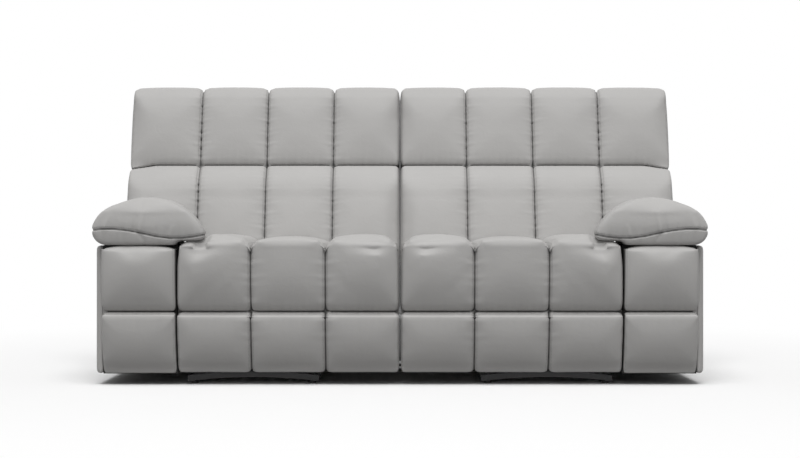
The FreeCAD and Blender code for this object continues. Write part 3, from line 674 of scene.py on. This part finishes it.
# %% Row seam and shape of the front
ROW = 0.248
FRONT_DEPTH = 0.06
SNAP_ROW = 0.0023
DOME = 0.012


def forward(d):
    """Place along y of a depth measured from the front."""
    return d - DEPTH_MIDDLE


def front_row(place):
    """Distance from the level row seam, for points on the front only."""
    return np.where(place[:, 1] < forward(FRONT_DEPTH), np.abs(place[:, 2] - ROW), 1.0)


def to_edge(place):
    """Rises from 0 in the middle of a column to 1 at its seams, steeply near them."""
    return np.abs(place[:, 0] / COLUMN % 1 * 2 - 1) ** 3


def belly(item):
    """Domes the seat columns, and lets each front row hang full above and tuck in below."""
    place, outward = points(item), directions(item)
    place[front_row(place) < SNAP_ROW, 2] = ROW
    top = smoothstep(outward[:, 2], 0.1, 0.7) * (place[:, 2] > 0.44)
    place[:, 2] -= DOME * to_edge(place) * top
    front = smoothstep(-place[:, 1], -forward(0.070), -forward(0.040))
    for middle, bottom, tuck in ((0.400, ROW, 0.021), (0.190, 0.040, 0.016)):
        low = np.clip((middle - place[:, 2]) / (middle - bottom), 0, 1)
        low[place[:, 2] < bottom - 0.012] = 0
        place[:, 1] += tuck * low ** 2 * front
    put(item, place)


print("row seam", ROW, "m high, columns domed by", DOME * 1000, "mm")

# %% Room for the hinge inside the front edge
HINGE = (forward(0.014), 0.468)
HINGE_ROOM = 0.011


def full_nose(item):
    """Keeps the middle of each column clear of the steel hinge inside the front edge."""
    place = points(item)
    arm = place[:, 1:] - np.array(HINGE)
    gap = np.maximum(np.linalg.norm(arm, axis=1), 1e-4)
    room = HINGE_ROOM * (1 - to_edge(place))
    place[:, 1:] += arm * ((1 + (room / gap) ** 4) ** 0.25 - 1)[:, None]
    put(item, place)
    belly(item)


print("hinge at", [round(v, 3) for v in HINGE])

# %% Seat and footrest cover
NOSE_FRONT, NOSE_REAR = forward(0.004), forward(0.110)
SEAT_FILLERS = [
    ((0.010, forward(0.022), 0.405), (0.738, forward(0.120), 0.474)),
    ((0.022, NOSE_FRONT, 0.400), (0.228, NOSE_REAR, 0.493)),
    ((0.270, NOSE_FRONT, 0.400), (0.478, NOSE_REAR, 0.493)),
    ((0.520, NOSE_FRONT, 0.400), (0.640, NOSE_REAR, 0.493)),
    ((0.630, NOSE_FRONT, 0.400), (0.726, NOSE_REAR, 0.483)),
    ((0.010, forward(0.024), 0.236), (0.738, forward(0.070), 0.262)),
]
SEAT_FOAM = ["seat_cushion", "calf_pad", "ottoman_pad"]


def seat_held(place):
    """The lining behind the front pads, and the row seam."""
    lining = (place[:, 2] < 0.43) & (place[:, 1] > forward(0.07))
    return lining | ((np.abs(place[:, 2] - ROW) < 0.006) & (place[:, 1] < forward(FRONT_DEPTH)))


cover, away = make_pad(
    "seat_cover", SEAT_FOAM, lines=[COLUMN, 2 * COLUMN], fillers=SEAT_FILLERS, rounds=7,
    held=seat_held, rows=front_row, ends=[0.0, 3 * COLUMN], walls=(0.0004, 0.7466),
    spacing=0.0085, before_seams=full_nose)
dress(cover, away, SEAT_FOAM, "seat_unit",
      ("footrest", (0, forward(0.061), 0.463), (0, forward(0.019), 0.421)))

# %% [markdown]
# ## Arm fronts
# The front of each arm is one padded column. The row seam of the seat runs on across it, so the
# same helper gives both their full upper part and their tuck below.

# %% Arm fronts
cover, away = make_pad(
    "arm_front", ["arm_front_pad"], ends=[3 * COLUMN], rows=front_row, walls=(0.7472, 0.9985),
    before_seams=belly,
    held=lambda p: (p[:, 1] > forward(0.066)) | (np.abs(p[:, 2] - ROW) < 0.006))
dress(cover, away, ["arm_front_pad"], "seat_unit")

# %% [markdown]
# ## Arm cushions
# A pillow lies over each arm. It is sewn from a domed top and a band below, and the join is a
# seam that dips towards the seat. Behind its full front the pillow grows slimmer.

# %% Seam and pleats of the arm cushions
PILLOW_WALL = 1.026
SEAM_X = [0.640, 0.690, 0.728, 0.769, 0.815, 0.860, 0.905, 0.951, 0.990, 1.030]
SEAM_Z = [0.507, 0.498, 0.494, 0.494, 0.500, 0.510, 0.519, 0.524, 0.524, 0.520]


def arm_seam(place):
    """Distance from the seam round the arm cushion."""
    return np.abs(place[:, 2] - np.interp(place[:, 0], SEAM_X, SEAM_Z))


# each pleat: start, end, half width, height
ARM_PLEATS = [((0.866, 0.522), (0.850, 0.606), 0.010, 0.0035),
              ((0.884, 0.522), (0.876, 0.580), 0.007, -0.0030),
              ((0.764, 0.503), (0.756, 0.532), 0.006, 0.0030),
              ((0.866, 0.508), (0.852, 0.478), 0.007, -0.0040),
              ((0.985, 0.530), (0.968, 0.566), 0.009, 0.0025)]


def slimmer(item):
    """Draws the inner side of the cushion outwards towards the rear."""
    place = points(item)
    behind = smoothstep(place[:, 1], forward(0.03), forward(0.50))
    inner = np.clip(0.860 - place[:, 0], 0, 1)
    place[:, 0] += inner * 0.36 * behind
    put(item, place)
    for start, end, width, height in ARM_PLEATS:
        fold(item, start, end, width, height)


print("arm seam through", len(SEAM_X), "points,", len(ARM_PLEATS), "pleats")

# %% Arm cushions
cover, away = make_pad(
    "arm_cushion", ["arm_pad"], rounds=9, limit=0.010, rows=arm_seam, depth=0.0015,
    reach=0.012, groove=0.0035, room=0.003, walls=(-2, PILLOW_WALL),
    held=lambda p: (p[:, 2] < 0.482) | (arm_seam(p) < 0.004), before_seams=slimmer)
dress(cover, away, ["arm_pad"], "seat_unit")

# %% [markdown]
# ## Outer sides
# The outer side of each arm is a thin padded panel behind the arm front.

# %% Outer sides
cover, away = make_pad("outer_side", ["arm_outer_panel"], limit=0, rounds=5, room=0.004)
dress(cover, away, ["arm_outer_panel"], "seat_unit")

# %% [markdown]
# ## Back cushions
# The back has two rows of four columns on each half, a lumbar row and a head row with arched tops.
# Both rows are one cover, sewn down along the row seam, which follows the lean of the back.

# %% Lean and row seam of the back
LEAN = math.radians(15.5)
PIVOT = (forward(0.693455), 0.300)
ROW_UP, ROW_DROP = 0.437, 0.016
SNAP_BACK = 0.0024
BACK_LINES = [COLUMN, 2 * COLUMN, 3 * COLUMN]


def along_back(place):
    """Distance up the leaning back and distance in front of its hinge line."""
    y, z = place[:, 1] - PIVOT[0], place[:, 2] - PIVOT[1]
    return (y * math.sin(LEAN) + z * math.cos(LEAN), z * math.sin(LEAN) - y * math.cos(LEAN))


def above_row(place):
    """Height above the row seam, which drops a little at the outer edge."""
    up, out = along_back(place)
    drop = ROW_DROP * smoothstep(place[:, 0], 0.90, 1.01)
    return np.where(out > 0.05, up - ROW_UP + drop, 1.0)


def back_row(place):
    """Distance from the row seam. The pads below it are tighter, so theirs counts double."""
    above = above_row(place)
    return np.where(above > 0, above, -2.2 * above)


def meet_row(item):
    """Moves the nearest points of the net onto the row seam."""
    place = points(item)
    miss = above_row(place)
    miss[np.abs(miss) > SNAP_BACK] = 0
    place[:, 1] -= miss * math.sin(LEAN)
    place[:, 2] -= miss * math.cos(LEAN)
    put(item, place)


print("back leans", round(math.degrees(LEAN), 1), "degrees")

# %% Back cushions
BACK_FOAM = ["lumbar_cushion", "head_cushion"]
cover, away = make_pad(
    "back_cushions", BACK_FOAM, lines=BACK_LINES, spacing=0.009,
    held=lambda p: (along_back(p)[1] < 0.045) | (back_row(p) < 0.006),
    rows=back_row, ends=[0.0], walls=(0.0004, 1.016), rounds=11, before_seams=meet_row)
dress(cover, away, BACK_FOAM, "back")

# %% [markdown]
# ## Rear covers
# The rear of the back is a flat covered tray, and a covered board closes the seat below it.

# %% Rear covers
cover, away = make_pad("rear_cover", ["back_cover"], limit=0, rounds=4, spacing=0.010,
                       lines=[2 * COLUMN], depth=0.002, reach=0.014, ends=[0.006, 1.008])
dress(cover, away, ["back_cover"], "back")
cover, away = make_pad("valance_cover", ["rear_valance"], limit=0, rounds=2, spacing=0.006)
dress(cover, away, ["rear_valance"], "seat_unit")

# %% [markdown]
# ## Arm wrap
# Behind the cushion, the top and the rear of each arm box are wrapped in one strip of leather over
# thin wadding. Its side line is drawn once, given its width, and then its thickness.

# %% Strip of leather over the arm box
WRAP_INNER, WRAP_OUTER, WRAP_START = 0.750, 1.021, 0.885
WRAP_LINE = [(0.480, 0.470), (0.690, 0.470), (0.750, 0.440), (0.750, 0.040)]


def wrap_strip():
    """A strip over the top and down the rear of the right arm box."""
    bpy.ops.mesh.primitive_plane_add(size=1, location=(WRAP_START, 0, 0))
    strip = bpy.context.object
    strip.name = "arm_wrap_right"
    edit_all(strip)
    mesh = bmesh.from_edit_mesh(strip.data)
    for vertex in mesh.verts:
        x = WRAP_OUTER if vertex.co.x > 0 else WRAP_INNER
        d, z = WRAP_LINE[int(vertex.co.y > 0)]
        vertex.co = (x - WRAP_START, forward(d), z)
    mesh.select_mode = {"EDGE"}
    for face in mesh.faces:
        face.select_set(False)
    for edge in mesh.edges:
        edge.select_set(all(abs(v.co.y - forward(WRAP_LINE[1][0])) < 1e-5 for v in edge.verts))
    bmesh.update_edit_mesh(strip.data)
    for (d0, z0), (d1, z1) in zip(WRAP_LINE[1:], WRAP_LINE[2:]):
        bpy.ops.mesh.extrude_edges_move(
            TRANSFORM_OT_translate={"value": (0, d1 - d0, z1 - z0)})
    bpy.ops.mesh.select_all(action="SELECT")
    bpy.ops.mesh.normals_make_consistent(inside=False)
    bpy.ops.mesh.subdivide(number_cuts=3)
    done()
    choose(strip)
    bpy.ops.object.transform_apply(location=True)
    return strip


wrap = wrap_strip()
print("strip has", len(wrap.data.polygons), "faces")

# %% Arm wrap
apply(wrap, "SOLIDIFY", thickness=0.006, offset=1.0)
apply(wrap, "REMESH", mode="VOXEL", voxel_size=0.004)
apply(wrap, "SMOOTH", factor=0.5, iterations=6)
choose(wrap)
bpy.ops.object.shade_smooth()
place = points(wrap)
print("wrap reaches from", place.min(0).round(3), "to", place.max(0).round(3))
# The distance from both edges of the strip gives them the painted seam shade of the leather.
dress(wrap, from_lines(place, [WRAP_INNER, WRAP_OUTER]), [], "seat_unit")

# %% [markdown]
# ## Inner sides and welts
# Where the two halves face each other, a thin lined board closes the side of each seat box, and a
# leather welt, a cord sewn into a strip of leather, edges the rear tray. Both stop short of the
# middle plane, so the halves slide past each other. The welt is a spline with a round section.

# %% Inner side board
BOARD_AT, BOARD_SIZE = (0.0016, forward(0.410), 0.238), (0.0026, 0.620, 0.320)
bpy.ops.mesh.primitive_cube_add(size=1, location=BOARD_AT)
board = bpy.context.object
board.name = "inner_side_right"
edit_all(board)
bpy.ops.transform.resize(value=BOARD_SIZE)
bpy.ops.mesh.bevel(offset=0.0008, segments=2, affect="EDGES")
done()
choose(board)
bpy.ops.object.transform_apply(location=True)
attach(board, "seat_unit_right")
other_board = mirrored(board, "inner_side_left")
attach(other_board, "seat_unit_left")
print("board", BOARD_SIZE[1], "by", BOARD_SIZE[2], "m")


# %% A welt along a path
def on_back(x, up, out):
    """A place on the leaning back, from across, up the back and in front of the hinge line."""
    return (x, PIVOT[0] + up * math.sin(LEAN) - out * math.cos(LEAN),
            PIVOT[1] + up * math.cos(LEAN) + out * math.sin(LEAN))


def welt(name, path, radius):
    """A round leather edge along a path, closed at both ends, as a mesh."""
    curve = bpy.data.curves.new(name, "CURVE")
    curve.dimensions = "3D"
    curve.bevel_depth = radius
    curve.bevel_resolution = 3
    curve.resolution_u = 6
    curve.use_fill_caps = True
    line = curve.splines.new("NURBS")
    line.points.add(len(path) - 1)
    for point, spot in zip(line.points, path):
        point.co = (*spot, 1)
    line.order_u = 3
    line.use_endpoint_u = True
    edging = bpy.data.objects.new(name, curve)
    bpy.context.scene.collection.objects.link(edging)
    choose(edging)
    bpy.ops.object.convert(target="MESH")
    edging = bpy.context.object
    bpy.ops.object.shade_smooth()
    finish_pad(edging, np.full(len(edging.data.vertices), 1.0))
    return edging


print("helpers: on_back, welt")

# %% Welts of the rear tray
REAR, CORNER, EDGE = -0.0435, -0.0405, -0.0400
TRAY = [(0.0037, 0.045, REAR), (0.0037, 0.400, REAR), (0.0037, 0.744, REAR),
        (0.0045, 0.757, CORNER), (0.0120, 0.7595, EDGE), (0.500, 0.7595, EDGE),
        (0.990, 0.7595, EDGE), (1.0030, 0.757, CORNER), (1.0068, 0.744, REAR),
        (1.0068, 0.600, REAR), (1.0068, 0.240, REAR)]
edge = welt("rear_welt_right", [on_back(*spot) for spot in TRAY], 0.0034)
other = mirrored(edge, "rear_welt_left")
for piece, body in ((edge, "back_right"), (other, "back_left")):
    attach(piece, body)
print("welt", len(edge.data.polygons), "faces")

# %% [markdown]
# ## Finishes for the measured pieces
# The frame, links, springs, straps and wooden boxes keep their measured shapes. Each gets a finish
# with its own grain and gloss: powder-coated steel, spring wire, pine, woven elastic, moulded
# plastic and rubber. The patterns are small node groups that give out only a colour, a roughness
# and a height.

# %% Patterns for hard pieces
def noise(group, vector, scale, detail=3, stretch=None):
    """Noise at a scale per metre, stretched along an axis where a grain runs."""
    if stretch:
        turn = node(group, "ShaderNodeMapping", {"Scale": stretch})
        group.links.new(vector, turn.inputs["Vector"])
        vector = turn.outputs["Vector"]
    made = node(group, "ShaderNodeTexNoise", {"Scale": scale, "Detail": detail})
    group.links.new(vector, made.inputs["Vector"])
    return made.outputs["Fac"]


def mixed(group, factor, first, second):
    """A colour between two, by a factor."""
    made = node(group, "ShaderNodeMix", data_type="RGBA")
    made.inputs["A"].default_value = (*first, 1)
    made.inputs["B"].default_value = (*second, 1)
    group.links.new(factor, made.inputs["Factor"])
    return made.outputs["Result"]


def span(group, factor, low, high):
    """A number between two, by a factor."""
    made = node(group, "ShaderNodeMapRange", {"To Min": low, "To Max": high})
    group.links.new(factor, made.inputs["Value"])
    return made.outputs["Result"]


def plain_pattern(name, colours, roughness, patch, relief, stretch=None):
    """A pattern of broad patches over a fine relief."""
    group, place, result = pattern(name)
    broad = noise(group, place, patch, 4, stretch)
    fine = noise(group, place, relief, 2, stretch)
    group.links.new(mixed(group, broad, *colours), result.inputs["Colour"])
    group.links.new(span(group, broad, *roughness), result.inputs["Roughness"])
    group.links.new(fine, result.inputs["Height"])
    return group


print("helpers: noise, mixed, span, plain_pattern")

# %% Patterns of steel, wood, plastic, rubber and lining
powder_coat = plain_pattern("powder_coat", ((0.007, 0.007, 0.008), (0.015, 0.015, 0.016)),
                            (0.34, 0.50), 18, 900)
spring_wire = plain_pattern("spring_wire", ((0.40, 0.41, 0.42), (0.52, 0.53, 0.54)),
                            (0.28, 0.45), 40, 1200)
pine = plain_pattern("pine", ((0.46, 0.31, 0.18), (0.66, 0.49, 0.31)),
                     (0.55, 0.75), 30, 160, (0.06, 1, 1))
moulded = plain_pattern("moulded", ((0.016, 0.016, 0.017), (0.028, 0.028, 0.03)),
                        (0.40, 0.52), 25, 1500)
foot_rubber = plain_pattern("foot_rubber", ((0.012, 0.012, 0.012), (0.03, 0.029, 0.028)),
                            (0.72, 0.88), 60, 700)
lining = plain_pattern("lining", ((0.012, 0.012, 0.012), (0.034, 0.033, 0.033)),
                       (0.80, 0.95), 300, 1800)
print("patterns:", [g.name for g in bpy.data.node_groups])

# %% Woven elastic straps
woven, place, result = pattern("woven_strap")
over = node(woven, "ShaderNodeTexWave", {"Scale": 90}, bands_direction="X")
under = node(woven, "ShaderNodeTexWave", {"Scale": 130}, bands_direction="Z")
woven.links.new(place, over.inputs["Vector"])
woven.links.new(place, under.inputs["Vector"])
weave = node(woven, "ShaderNodeMath", operation="MULTIPLY")
woven.links.new(over.outputs["Fac"], weave.inputs[0])
woven.links.new(under.outputs["Fac"], weave.inputs[1])
woven.links.new(mixed(woven, weave.outputs["Value"], (0.05, 0.05, 0.05), (0.15, 0.148, 0.145)),
                result.inputs["Colour"])
woven.links.new(span(woven, weave.outputs["Value"], 0.7, 0.9), result.inputs["Roughness"])
woven.links.new(weave.outputs["Value"], result.inputs["Height"])
print("woven strap:", len(woven.nodes), "nodes")

# %% Put the finishes on
FINISHES = [
    (finish_of("black_steel", powder_coat, 0.0003),
     ["base_frame", "base_tie_rails", "swing_links", "seat_plates", "nose_arms", "footrest_ears",
      "footrest_brackets", "lift_arms", "push_links", "back_brackets"]),
    (finish_of("spring_steel", spring_wire, 0.0002, 0.3, 1.0), ["seat_springs"]),
    (finish_of("pine_and_plywood", pine, 0.0004),
     ["seat_box", "rear_gussets", "back_frame"]),
    (finish_of("lining_cloth", lining, 0.0004), ["arm_frame", "footrest_board"]),
    (finish_of("strap_webbing", woven, 0.0006, 0.8), ["back_webbing"]),
    (finish_of("black_plastic", moulded, 0.0002), ["release_cup", "release_paddle"]),
    (finish_of("rubber", foot_rubber, 0.0004), ["base_feet"]),
]
for name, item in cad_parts.items():
    for material, words in FINISHES:
        if any(word in name for word in words):
            item.data.materials.clear()
            item.data.materials.append(material)
for piece in (board, other_board):
    piece.data.materials.append(bpy.data.materials["lining_cloth"])
print("finished", len(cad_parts), "measured pieces")
